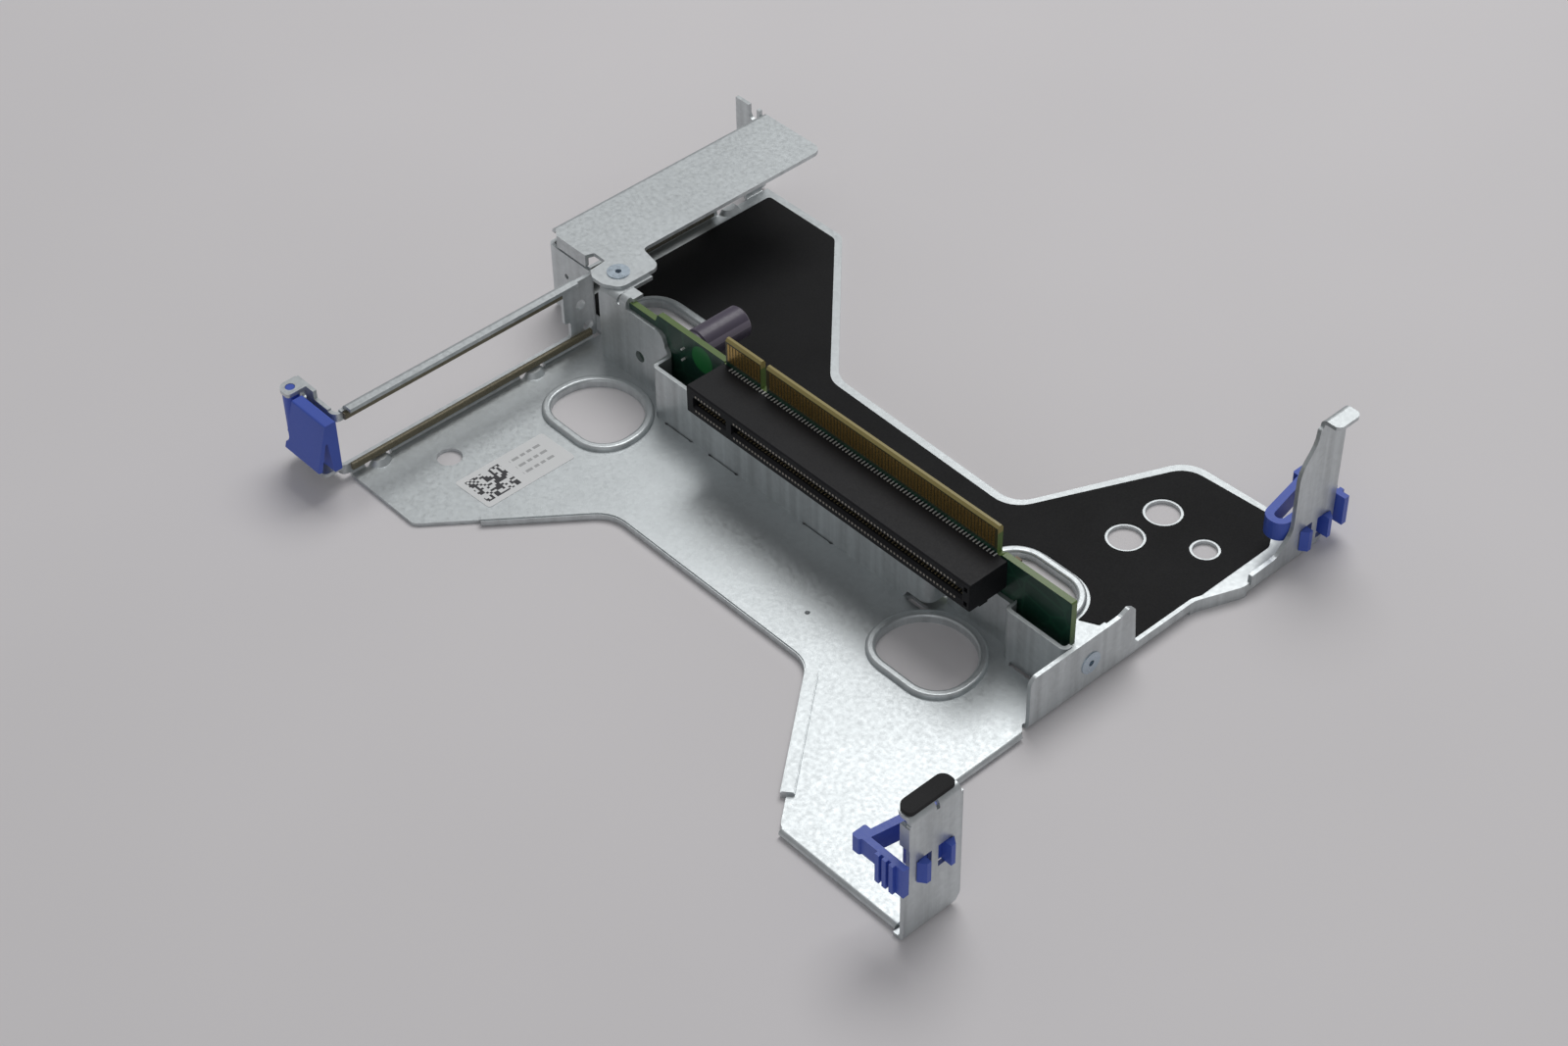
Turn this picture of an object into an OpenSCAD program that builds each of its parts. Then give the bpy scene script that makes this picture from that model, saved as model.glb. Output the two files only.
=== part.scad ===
// Riser cage bracket: a folded sheet cage that carries a riser board with a card slot.
// X = 0 at the rear end of the board's edge tab, Y = 0 at the board's near face,
// Z = 0 on the surface that the base plate rests on.

/* [Sheet] */
// Thickness of the galvanised sheet
sheet_t = 1.0; // [0.8:0.1:1.2]
// Inside radius of the sheet's bends
bend_r = 0.6; // [0.4:0.1:1.0]
// Width of the flattened hems
hem_w = 3.0; // [2.4:0.1:3.6]

/* [Base plate] */
// Near edge of the plate at the rear and at the tongue
near_y = -71; // [-76:0.5:-68]
// Far edge of the plate
far_y = 72; // [70:0.5:76]
// Waist edge on the near side
waist_near_y = -34.4; // [-38:0.2:-32]
// Waist edge on the far side
waist_far_y = 33.4; // [31:0.2:36]
// Straight half width of a hand hole's rim, at its middle line
hole_half = 12.4; // [11:0.2:13]
// Height of a hand hole's rim above the floor
rim_h = 2.2; // [1.8:0.1:2.6]

/* [Rear wall] */
// Outer face of the near rear wall
rear_x = -52; // [-55:0.5:-51]
// Outer face of the far rear wall
far_rear_x = -67.7; // [-72:0.5:-65]
// Height of the near rear wall
near_wall_h = 21; // [19:0.5:23]
// Height of the far flange
far_wall_h = 23.4; // [23:0.2:28]
// Depth of the far flange
far_flange_w = 21.7; // [18:0.5:24]
// Face of the step between the two walls
step_y = 3; // [2:0.5:5]

/* [Front wall] */
// Outer face of the front wall
front_x = 110; // [109:0.5:114]
// Height of the front wall
front_h = 14.7; // [13:0.5:18]
// Outward joggle of the front wall before the arm
joggle = 4.4; // [2:0.2:6]
// Height of the arm
arm_h = 38.2; // [34:0.2:44]
// Outer face of the near tab
tab_x = 132.6; // [128:0.5:138]
// Height of the near tab
tab_h = 34; // [31:0.5:38]

/* [Board] */
// Thickness of the riser board
board_t = 1.57; // [1.2:0.01:2]
// Height of the top of the edge tab
board_top = 31.5; // [29:0.5:34]
// Length of the edge tab
tab_len = 85.2; // [85:0.1:86]
// Pitch of the contacts
contact_pitch = 1.0; // [0.8:0.1:1.2]
// Lower edge of the board
board_low = 3; // [2:0.5:5]

/* [Card slot] */
// Length of the slot housing
slot_len = 89; // [88:0.5:92]
// Depth of the slot housing, away from the board
slot_d = 11.25; // [10:0.25:12]
// Height of the slot housing
slot_h = 7.5; // [6.5:0.25:8]
// Height of the middle of the slot
slot_z = 20.25; // [19.5:0.25:21]

/* [Latches] */
// Height of the front latches' springs
clip_h = 5; // [4.2:0.2:6]
// Wall of the front latches
clip_t = 1.8; // [1.4:0.1:2]
// Opening angle of the front latches
clip_angle = 10.5; // [6:0.5:14]
// Length of the rear latch
latch_len = 12.5; // [10:0.5:14]
// Radius of the rear latch's pivot
pivot_r = 1.1; // [0.8:0.1:1.4]
// Radial play of the rear latch's pivot in its ears
pivot_play = 0.08; // [0.05:0.01:0.12]

/* [Small parts] */
// Thickness of the insulating film
film_t = 0.25; // [0.2:0.05:0.5]
// Radius of the rivets' shanks
rivet_r = 1.6; // [1.2:0.1:2]
// Radius of the capacitor
cap_r = 4; // [3:0.25:4.5]
// Length of the capacitor
cap_len = 15.8; // [12:0.2:18]

/* [Hidden] */
$fn = 40;
steel = [0.74, 0.77, 0.79];
blue = [0.30, 0.42, 0.85];
olive = [0.36, 0.33, 0.22];
fold = sheet_t + bend_r;
eps = 0.02;

// ---------- outlines and bends ----------

function unit(v) = v / norm(v);

// Tangent length that a rounding of radius r takes from each side of corner b
function bite(a, b, c, r) =
    r <= 0 ? 0 : let (cosine = unit(a - b) * unit(c - b)) r * sqrt((1 + cosine) / (1 - cosine));

// Points of the rounded corner b between a and c
function round_corner(a, b, c, r) =
    r <= 0 ? [b] :
    let (
        u = unit(a - b),
        v = unit(c - b),
        reach = bite(a, b, c, r),
        centre = b + unit(u + v) * norm([reach, r]),
        from = b + u * reach - centre,
        to = b + v * reach - centre,
        turn = atan2(from.x * to.y - from.y * to.x, from * to),
        steps = ceil(abs(turn) / 12)
    )
    [for (k = [0:steps]) centre + [
        from.x * cos(turn * k / steps) - from.y * sin(turn * k / steps),
        from.x * sin(turn * k / steps) + from.y * cos(turn * k / steps)]];

function flat_of(p) = [p.x, p.y];

// Closed outline from corners [x, y, radius]
function rounded(pts) = [for (i = [0:len(pts) - 1])
    let (n = len(pts), a = pts[(i + n - 1) % n], b = pts[i], c = pts[(i + 1) % n])
    each round_corner(flat_of(a), flat_of(b), flat_of(c), b.z)];

function left_of(v) = [-v.y, v.x] / norm(v);

// Path of corners [x, y, radius], moved d to its left
function shifted(pts, d) = [for (i = [0:len(pts) - 1])
    let (
        n = len(pts) - 1,
        a = i > 0 ? flat_of(pts[i]) - flat_of(pts[i - 1]) : flat_of(pts[1]) - flat_of(pts[0]),
        b = i < n ? flat_of(pts[i + 1]) - flat_of(pts[i]) : a,
        m = unit(left_of(a) + left_of(b)),
        k = d / (m * left_of(a)),
        way = sign(a.x * b.y - a.y * b.x)
    )
    [pts[i].x + m.x * k, pts[i].y + m.y * k, pts[i].z > 0 ? pts[i].z - d * way : 0]];

// Closed outline of a strip along a path, from d0 to d1 on its left
function strip(pts, d0, d1) =
    let (back = shifted(pts, d1))
    rounded(concat(shifted(pts, d0), [for (i = [len(pts) - 1:-1:0]) back[i]]));

// A plate in the XY plane from corners [x, y, radius]
module plate(pts, t) {
    linear_extrude(t) polygon(rounded(pts));
}

// A plate standing in the YZ plane, from X = x to x + t, corners [y, z, radius]
module plate_yz(pts, x, t) {
    translate([x, 0, 0]) rotate([90, 0, 90]) linear_extrude(t) polygon(rounded(pts));
}

// A plate standing in the XZ plane, from Y = y to y + t, corners [x, z, radius]
module plate_xz(pts, y, t) {
    translate([0, y + t, 0]) rotate([90, 0, 0]) linear_extrude(t) polygon(rounded(pts));
}

// Sweeps a profile along corners [x, y, radius]. The profile's first axis points to the left
// of the way that the path runs, its second axis is up.
module sweep(pts) {
    n = len(pts);
    bites = [for (i = [0:n - 1]) (i == 0 || i == n - 1) ? 0 :
        bite(flat_of(pts[i - 1]), flat_of(pts[i]), flat_of(pts[i + 1]), pts[i].z)];
    for (i = [0:n - 2]) {
        way = flat_of(pts[i + 1]) - flat_of(pts[i]);
        heading = atan2(way.y, way.x);
        start = flat_of(pts[i]) + unit(way) * bites[i];
        run = norm(way) - bites[i] - bites[i + 1];
        if (run > eps)
            translate([start.x, start.y, 0]) rotate([0, 0, heading])
                rotate([90, 0, 90]) linear_extrude(run) children();
    }
    for (i = [1:1:n - 2]) {
        before = flat_of(pts[i]) - flat_of(pts[i - 1]);
        after = flat_of(pts[i + 1]) - flat_of(pts[i]);
        heading = atan2(before.y, before.x);
        turn = atan2(before.x * after.y - before.y * after.x, before * after);
        start = flat_of(pts[i]) - unit(before) * bites[i];
        r = pts[i].z;
        if (r > 0 && turn > 0)
            translate([start.x, start.y, 0] + r * [-sin(heading), cos(heading), 0])
                rotate([0, 0, heading - 90]) rotate_extrude(angle = turn)
                    translate([r, 0]) mirror([1, 0]) children();
        if (r > 0 && turn < 0)
            translate([start.x, start.y, 0] - r * [-sin(heading), cos(heading), 0])
                rotate([0, 0, heading + 90 + turn]) rotate_extrude(angle = -turn)
                    translate([r, 0]) children();
    }
}

// Section of an upright sheet
module wall_section(low, high) {
    translate([0, low]) square([sheet_t, high - low]);
}

// Section of a quarter bend at the foot of a wall
module foot_bend_section() {
    intersection() {
        square(fold);
        translate([fold, fold]) difference() {
            circle(fold);
            circle(bend_r);
        }
    }
}

// Section of a wall that is bent up from the base plate
module footed_section(high) {
    foot_bend_section();
    wall_section(fold, high);
    translate([fold, 0]) square([1.2, sheet_t]);
}

// Section of a flange that is bent inward at the top of a wall
module topped_section(high, depth) {
    translate([0, high]) mirror([0, 1]) foot_bend_section();
    translate([fold, high - sheet_t]) square([depth - fold, sheet_t]);
}

// Section of a flattened hem, with its rolled edge towards -u
module hem_section() translate([-0.3, 0]) {
    translate([0, sheet_t]) circle(sheet_t);
    translate([0, 0]) square([hem_w - sheet_t - 0.2, 2 * sheet_t]);
    square([hem_w - sheet_t, 2 * sheet_t - 0.25]);
}

// ---------- base plate ----------

// Outline of the plate, counter-clockwise from the rear near corner
in_rear = rear_x + fold;
in_far_rear = far_rear_x + fold;
in_front = front_x - fold;
arm_x = front_x + joggle;
hem_edge_x = front_x - 0.1;
tongue_y = near_y + 13.5;
bay_near_rear = 27;
bay_near_front = 66;

plate_pts = [
    [in_rear, near_y + 1.2, 0], [-27.8, near_y + 1.2, 3], [0.3, waist_near_y, 10], [65.4, waist_near_y, 9],
    [95, near_y, 4], [tab_x - fold, near_y, 0], [tab_x - fold, tongue_y, 0],
    [hem_edge_x, tongue_y, 11], [hem_edge_x, -16.6, 1], [in_front, -15.2, 0.5],
    [in_front, 36, 5], [arm_x - fold, 47, 5], [arm_x - fold, far_y + 1, 2], [77.2, far_y - 0.4, 8],
    [59.6, waist_far_y - 1, 7], [0.8, waist_far_y + 0.4, 8], [-38.6, far_y, 3],
    [in_far_rear, far_y, 0], [in_far_rear, step_y + sheet_t + 0.3, 0], [in_rear, step_y + sheet_t + 0.3, 0]];

// Y of the plate's near edge on its two slants
function rear_slant_y(x) = near_y + 1.2 + (waist_near_y - near_y - 1.2) * (x + 27.8) / 28.1;
function front_slant_y(x) = waist_near_y + (near_y - waist_near_y) * (x - 65.4) / 29.6;

near_hem_path = [[-18.4, rear_slant_y(-18.4), 0], [0.3, waist_near_y, 10], [65.4, waist_near_y, 9],
    [89.4, front_slant_y(89.4), 0]];
front_hem_path = [[hem_edge_x, tongue_y + 9, 0], [hem_edge_x, -17.8, 0]];
tongue_hem_path = [[96, near_y, 0], [tab_x - fold - 1.5, near_y, 0]];

// Centres of the hand holes, and the side that their flat faces
hand_holes = [[-28.2, -16.4, 1], [80.5, -16.0, 1], [-41, 14.9, -1], [80.9, 14.9, -1]];
chord = 8.75;
chord_corner = 8;

function hand_hole(h, grow = 0) =
    let (w = hole_half + grow, c = chord + grow, s = h.z)
    [[h.x, h.y + s * w, 0], [h.x + w, h.y + s * w, w - 0.4], [h.x + w, h.y - s * c, chord_corner + grow],
     [h.x - w, h.y - s * c, chord_corner + grow], [h.x - w, h.y + s * w, w - 0.4], [h.x, h.y + s * w, 0]];

// Section of a curled rim, round the middle line of its bead
module rim_section() {
    translate([-1.15, 0]) square([2.2, rim_h - 0.75]);
    translate([-0.4, rim_h - 0.75]) circle(0.75);
    translate([0.3, rim_h - 0.75]) circle(0.75);
    translate([-0.4, rim_h - 0.75]) square([0.7, 0.75]);
}

small_holes = [[-40.1, -50, 3.0], [53.5, -25.0, 0.6], [84.7, 54.3, 4.0], [84.5, 42.2, 4.0], [99.2, 52, 2.9]];
film_clear = 0.6;

wall_y = -6.2;
tab_slots = [[-15.5, -5.3], [-0.3, 10.3], [31.4, 41.8]];
slot_w = 1.5;

module slotted_hole(x0, x1, y, w) {
    translate([x0 + 0.9, y, -1]) cylinder(r = 0.9, h = 4);
    translate([x1 - 0.9, y, -1]) cylinder(r = 0.9, h = 4);
    translate([x0 + 0.9, y - w / 2, -1]) cube([x1 - x0 - 1.8, w, 4]);
}

// Half-moon louvre that takes a card bracket's foot, its mouth towards the rear wall
louvres = [[rear_x + fold - 0.2, -62.3], [rear_x + fold - 0.2, -17], [far_rear_x + fold - 0.2, 58.6]];
louvre_r = 3.5;
louvre_h = 2.2;

module louvre_dome(grow) {
    rotate_extrude() polygon([[0, 0], [louvre_r + grow, 0], [louvre_r + grow - 0.5, 0.9],
        [louvre_r - 1.6, louvre_h + grow / 2], [0, louvre_h + grow / 2]]);
}

module base_sheet() {
    difference() {
        union() {
            plate(plate_pts, sheet_t);
            for (h = louvres) translate([h.x, h.y, 0]) difference() {
                louvre_dome(0);
                translate([-10, -10, -1]) cube([10, 20, 10]);
            }
        }
        for (h = hand_holes) translate([0, 0, -1]) plate([for (p = hand_hole(h)) if (p.z > 0) p], 4);
        for (h = small_holes) translate([h.x, h.y, -1]) cylinder(r = h.z, h = 4);
        for (s = tab_slots) slotted_hole(s.x, s.y, wall_y + sheet_t / 2, slot_w);
        slotted_hole(64.8, 70.6, wall_y + sheet_t / 2, slot_w);
        slotted_hole(94, 100.6, -4, 1.6);
        for (h = louvres) translate([h.x, h.y, -1.2]) difference() {
            louvre_dome(-0.8);
            translate([-10, -10, -1]) cube([9.2, 20, 10]);
        }
    }
    for (h = hand_holes) sweep(hand_hole(h)) mirror([h.z < 0 ? 0 : 1, 0]) rim_section();
    // hem along the waist, its rolled edge stepped
    linear_extrude(2 * sheet_t) polygon(strip(near_hem_path, -sheet_t, hem_w - sheet_t - 0.5));
    translate([0, 0, 0.3]) linear_extrude(2 * sheet_t - 0.6)
        polygon(strip(near_hem_path, -sheet_t - 0.3, hem_w - sheet_t - 0.3));
    sweep(front_hem_path) hem_section();
    sweep(tongue_hem_path) hem_section();
}

// ---------- rear wall ----------

ledge_near_x = -65.6;
ledge_far_x = -77.3;
far_ledge_y = far_y - 0.1;
window_low = 4.3;
window_high = 17.2;

rear_path = [[ledge_far_x, far_ledge_y, 0], [far_rear_x, far_ledge_y, bend_r], [far_rear_x, step_y, fold],
    [rear_x, step_y, bend_r], [rear_x, near_y, bend_r], [ledge_near_x, near_y, 0]];

ear_x = -63.6;
ear_y = near_y - 3.7;
ear_top = 22;
shelf_z = 4.2;

// Horizontal ear with a pivot hole, bent from the near ledge
module pivot_ear(z, x_end) {
    difference() {
        union() {
            translate([0, 0, z]) linear_extrude(sheet_t) union() {
                translate([ear_x - 2.3, ear_y]) square([x_end - ear_x + 2.3, near_y - sheet_t - ear_y + 0.4]);
                translate([ear_x, ear_y]) circle(2.3);
                translate([ear_x, ear_y - 2.3]) square([x_end - ear_x - 1, 2.4]);
                translate([x_end - 1, ear_y - 1.3]) circle(1);
                translate([x_end - 1, ear_y - 1.3]) square([1, 1.4]);
            }
        }
        translate([ear_x, ear_y, z - 1]) cylinder(r = pivot_r + pivot_play, h = 3);
    }
}

module rear_sheet() {
    difference() {
        union() {
            sweep(rear_path) wall_section(fold, near_wall_h - fold);
            // links of the near wall go up to the ledge's top
            sweep([[rear_x - 1.5, near_y, 0], [ledge_near_x, near_y, 0]])
                wall_section(near_wall_h - fold - eps, ear_top);
            // far wall and its ledge go up to the flange
            sweep([[ledge_far_x, far_ledge_y, 0], [far_rear_x, far_ledge_y, bend_r], [far_rear_x, step_y + 3, 0]])
                wall_section(near_wall_h - fold - eps, far_wall_h - fold);
            sweep([[ledge_far_x, far_ledge_y, 0], [far_rear_x - 0.8, far_ledge_y, 0]])
                wall_section(far_wall_h - fold - eps, far_wall_h);
            // feet in the base plate
            sweep([[rear_x, step_y - 1.4, 0], [rear_x, near_y + 1.2, 0]]) footed_section(fold + 1);
            sweep([[far_rear_x, far_ledge_y - 1.5, 0], [far_rear_x, step_y + 2.4, 0]]) footed_section(fold + 1);
            // top of the near rail
            sweep([[rear_x, -3, 0], [rear_x, near_y + 0.9, 0]]) topped_section(near_wall_h, 3.2);
        }
        // near window, open at its end
        plate_yz([[near_y - 3, window_low, 0.8], [-4.5, window_low, 0.8], [-4.5, 8.7, 0.5], [-6.2, 9.1, 0.3],
            [-6.2, window_high, 0.8], [near_y - 3, window_high, 0.8]], rear_x - 1.2, 4);
        // screw holes beside the window
        translate([rear_x - 1, -1.2, 12.3]) rotate([0, 90, 0]) cylinder(r = 1.4, h = 4);
        translate([rear_x - 1, 0.7, 5.2]) rotate([0, 90, 0]) cylinder(r = 1.5, h = 4);
        // far window over the louvre and the long one beside it
        plate_yz([[55.4, -1, 0], [65.2, -1, 0], [65.2, 8.5, 1], [55.4, 8.5, 1]], far_rear_x - 1, fold + 1.2);
        plate_yz([[9, 6, 1], [52, 6, 1], [52, 18.4, 1], [9, 18.4, 1]], far_rear_x - 1, 4);
        // feet's openings at the louvres
        for (h = [louvres[0], louvres[1]])
            plate_yz([[h.y - 3.7, -1, 0], [h.y + 3.7, -1, 0], [h.y + 3.7, 1.6, 1], [h.y + 1.6, 3.6, 1.5],
                [h.y - 1.6, 3.6, 1.5], [h.y - 3.7, 1.6, 1]], rear_x - 1, fold + 1.6);
        // step wall: top slit, small hole
        translate([far_rear_x - 1, step_y - 1, 19.6]) cube([rear_x - far_rear_x - 0.5, 2.6, 9]);
        translate([rear_x - 1, step_y - 4, 19.4]) cube([4, 6, 3]);
        translate([-61.2, step_y + 2, 12.7]) rotate([90, 0, 0]) cylinder(r = 0.7, h = 4);
        // screw notch of the far ledge
        translate([-71, far_ledge_y + 3, far_wall_h - 2.4]) rotate([90, 0, 0]) cylinder(r = 1.5, h = 5);
        translate([-72.5, far_ledge_y - 2, far_wall_h - 2.4]) cube([3, 5, 5]);
        // corner cut and hole of the near ledge
        translate([-62.7, near_y + 2, 18.6]) rotate([90, 0, 0]) cylinder(r = 0.9, h = 5);
        translate([ledge_near_x + 7, near_y - 3, near_wall_h - 1.2]) cube([12, 5, 5]);
    }
    far_flange();
    pivot_ear(ear_top - sheet_t, ear_x + 2.3);
    pivot_ear(shelf_z, -50.4);
}

l_tab_pts = [[-48.4, step_y, 0], [-45.9, -1, 3.6], [-38.2, -1, 2.6], [-38.2, 13.2, 2.2],
    [far_rear_x + far_flange_w, 13.2, 1]];

// Top flange of the far wall, with its tongue over the board bracket and its down-turned lip
module far_flange() {
    inner_x = far_rear_x + far_flange_w;
    difference() {
        union() {
            sweep([[far_rear_x, far_y + 0.4, 0], [far_rear_x, step_y + fold, 0]])
                topped_section(far_wall_h, 4);
            translate([0, 0, far_wall_h - sheet_t]) plate([
                [far_rear_x + fold, step_y + fold, 0], [-64, step_y, 0.3], [-53.4, step_y, 0.3], [-52.6, step_y + 2.2, 0.5],
                [-48.6, step_y + 2.2, 0.5], [-48.2, step_y - 2.6, 0.3], [-45.9, -1, 1.2], [-42.4, -1, 3],
                [-38.2, 1.4, 3], [-38.2, 13.2, 2.6], [inner_x, 14.6, 1.4], [inner_x, far_y + 0.4, 2.6],
                [far_rear_x + fold, far_y + 0.4, 0]], sheet_t);
            // lip along the near edge
            sweep([[-64, step_y, 0], [-53.4, step_y, 0]]) translate([0, far_wall_h]) mirror([0, 1]) {
                foot_bend_section();
                wall_section(fold, 3.4);
            }
        }
        translate([rivet_x, rivet_y, far_wall_h - 3]) cylinder(r = rivet_r, h = 5);
    }
}

// ---------- front wall, arm and near tab ----------

// Plan of the wall, its joggle and the arm, corners [x, y, radius]
front_plan = [[front_x, -14.8, 0], [front_x, 36.2, 6], [arm_x, 47.2, 5], [arm_x, far_y + 5, 0],
    [arm_x - sheet_t, far_y + 5, 0], [arm_x - sheet_t, 47.4, 6], [front_x - sheet_t, 36.4, 5], [front_x - sheet_t, -14.8, 0]];

// Side view of the wall and the arm, corners [y, z, radius]
front_pts = [[-14.8, -1, 0], [-14.8, front_h, 2.2], [12, front_h, 3], [14.6, front_h + 1.1, 1],
    [16.6, front_h - 0.2, 1.2], [17.4, 3.7, 1], [35, 3.5, 0], [49, 3.5, 0], [49.05, 2.6, 0], [49.5, 2.6, 0],
    [49.55, 5, 0.3], [57.8, 5.2, 4], [62.5, 9.6, 5], [62.7, 26.5, 8], [67.5, 32.4, 8], [67.7, 35.8, 0.4],
    [68.6, 36.2, 0.2], [68.6, arm_h + 1, 0], [76, arm_h + 1, 0], [76.6, 30, 4], [76.2, 5, 5], [69.5, -1, 0]];

ear_reach = 5.0;

module front_sheet() {
    difference() {
        intersection() {
            union() {
                translate([0, 0, fold]) linear_extrude(arm_h - 2 * fold) polygon(rounded(front_plan));
                sweep([[front_x, -14.8, 0], [front_x, 35.6, 0]]) footed_section(fold + 1);
                sweep([[arm_x, 47.9, 0], [arm_x, far_y + 5, 0]]) footed_section(fold + 1);
                // foot of the joggle
                intersection() {
                    linear_extrude(fold + 1) polygon(rounded(front_plan));
                    translate([front_x - 6, 35, -1]) cube([14, 13.4, 6]);
                }
            }
            translate([0, 0, 0]) plate_yz(front_pts, in_front - 3, 20);
        }
        translate([front_x + 1, rivet_front_y, rivet_front_z]) rotate([0, -90, 0]) cylinder(r = rivet_r, h = 4);
        for (s = clip_slots(far_clip)) clip_slot(far_clip, s);
    }
    // ear, bent outward at the top of the arm
    translate([arm_x - sheet_t, 76, arm_h]) rotate([90, 0, 0]) linear_extrude(7.4) mirror([0, 1]) {
        foot_bend_section();
        translate([fold, 0]) square([ear_reach - fold - 1, sheet_t]);
    }
    translate([0, 0, arm_h - sheet_t]) plate([[arm_x - sheet_t + fold, 68.6, 0],
        [arm_x - sheet_t + ear_reach, 68.6, 1.6], [arm_x - sheet_t + ear_reach, 76, 1.6],
        [arm_x - sheet_t + fold, 76, 0]], sheet_t);
    near_tab();
}

tab_y0 = near_y - 2;
tab_y1 = tongue_y;

module near_tab() {
    difference() {
        union() {
            intersection() {
                sweep([[tab_x, tab_y0, 0], [tab_x, tab_y1, 0]]) footed_section(tab_h - fold);
                plate_yz([[tab_y0, -1, 0], [tab_y0, 15.6, 0.3], [tab_y0 + 1.4, 16, 0.3], [tab_y0 + 1.4, 40, 0],
                    [tab_y1, 40, 0], [tab_y1, 3, 2], [tab_y1 - 2.5, -1, 0]], tab_x - 5, 8);
            }
            sweep([[tab_x, tab_y0 + 1.6, 0], [tab_x, tab_y1 - 0.5, 0]]) translate([0, tab_h]) mirror([0, 1])
                foot_bend_section();
            translate([0, 0, tab_h - sheet_t]) plate([[tab_x - 4.9, tab_y0 + 1.6, 2.4], [tab_x - fold, tab_y0 + 1.6, 0],
                [tab_x - fold, tab_y1 - 0.5, 0], [tab_x - 4.9, tab_y1 - 0.5, 2.4]], sheet_t);
            // lug turned back on the near edge
            translate([tab_x - 2.6, tab_y0 + 1.2, 25.7]) cube([2.6, sheet_t, 6]);
        }
        for (s = clip_slots(near_clip)) clip_slot(near_clip, s);
        // slit in the middle of the top bend
        translate([tab_x - 1.2, (tab_y0 + tab_y1) / 2 + 0.6, tab_h - 2]) cube([3, 0.9, 3]);
    }
}

// ---------- cage pan ----------

module cage_pan() color(steel) {
    base_sheet();
    rear_sheet();
    front_sheet();
}

// ---------- board bracket ----------

bracket_rear_x = -44;
bracket_z0 = sheet_t;
inner_front = front_x - sheet_t;
bracket_path = [[bracket_rear_x, -sheet_t, 0], [-19.3, -sheet_t, bend_r], [-19.3, wall_y, fold],
    [71.5, wall_y, fold + 1], [71.5, -sheet_t, bend_r], [91.4, -sheet_t, bend_r], [91.4, -4, fold],
    [inner_front, -4, fold + 0.2], [inner_front, 9.2, 0]];

// Front view of the bracket, corners [x, z, radius]
bracket_pts = [[bracket_rear_x, bracket_z0, 0], [bracket_rear_x, far_wall_h - sheet_t - fold, 0],
    [-37, far_wall_h - sheet_t - fold, 0], [-36.6, 20.6, 0],
    [-21.5, 20.6, 2], [-20.5, 18, 0.8], [-20.4, 17.1, 0.2], [-19, 15.7, 0.2], [-18, 15.7, 0.3],
    [70, 15.7, 0.4], [74.5, 13.9, 2], [91, 13.9, 0.3], [91.4, 15.2, 0.5], [inner_front + 1, 15.0, 0],
    [inner_front + 1, bracket_z0 + 0.8, 0], [107, bracket_z0 + 0.8, 0.5], [106.2, bracket_z0, 0], [72, bracket_z0, 0], [72, 3, 0.5], [65, 3, 0.8], [64, bracket_z0, 0.5]];

hook_top = 22.35 + sheet_t;
rivet_x = -43.2;
rivet_y = 4.7;
rivet_front_y = 3.4;
rivet_front_z = 7.5;

module board_bracket() color(steel) difference() {
    union() {
        intersection() {
            sweep(bracket_path) wall_section(bracket_z0, far_wall_h);
            plate_xz(bracket_pts, wall_y - 3, 20);
        }
        // flange under the cage pan's tongue
        sweep([[-37.4, -sheet_t, 0], [bracket_rear_x + 0.4, -sheet_t, 0]]) mirror([1, 0])
            translate([0, far_wall_h - sheet_t]) mirror([0, 1]) {
                foot_bend_section();
                translate([fold, 0]) square([9.6, sheet_t]);
            }
        // hook over the board's rear end
        sweep([[board_rear_x - 0.1, -sheet_t, 0], [-36.4, -sheet_t, 0]]) mirror([1, 0]) {
            wall_section(20, hook_top - fold);
            translate([0, hook_top]) mirror([0, 1]) foot_bend_section();
            translate([fold, hook_top - sheet_t]) square([board_t + 1.4, sheet_t]);
        }
        translate([-35, fold - sheet_t, hook_top - sheet_t]) cube([2, board_t + 1.4, sheet_t]);
        // tabs in the base plate's slots
        for (s = tab_slots) translate([s.x + 1.2, wall_y, 0.1]) cube([s.y - s.x - 2.4, sheet_t, 1.5]);
    }
    translate([rivet_x, rivet_y, far_wall_h - 3]) cylinder(r = rivet_r, h = 5);
    translate([front_x + 1, rivet_front_y, rivet_front_z]) rotate([0, -90, 0]) cylinder(r = rivet_r, h = 4);
    // front flange is lower than the wall
    translate([inner_front - 1.5, -1.6, 14]) cube([4, 20, 8]);
    // lanced hole
    translate([-29.8, 1, 9]) rotate([90, 0, 0]) cylinder(r = 1.5, h = 4);
}

// ---------- insulating film ----------

film_edge = 2.2;
film_near_y = 8;
film_rear_x = far_rear_x + 4.7;

module insulating_film() color([0.05, 0.05, 0.06]) translate([0, 0, sheet_t]) difference() {
    plate([
        [film_rear_x, film_near_y, 0.6], [80, film_near_y, 1], [100.6, 18.6, 1.5], [front_x - sheet_t - 0.8, 20.4, 0.5],
        [front_x - sheet_t - 0.8, 63, 2], [103, far_y + 0.2 - film_edge + 1, 2], [78.6, far_y - 0.4 - film_edge, 7],
        [60.4, waist_far_y - 1 - film_edge, 8], [0.2, waist_far_y + 0.4 - film_edge, 7],
        [-38.9, far_y - film_edge, 2.5], [film_rear_x, far_y - film_edge, 1]], film_t);
    for (h = hand_holes) if (h.z < 0)
        translate([0, 0, -1]) plate([for (p = hand_hole(h, 1.9)) if (p.z > 0) p], 4);
    for (h = small_holes) if (h.y > film_near_y)
        translate([h.x, h.y, -1]) cylinder(r = h.z + film_clear, h = 4);
}

// ---------- riser board ----------

key_x = 11.65;
key_w = 1.9;
bevel = 0.45;
board_rear_x = -33.9;
board_front_x = 106.8;

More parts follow.
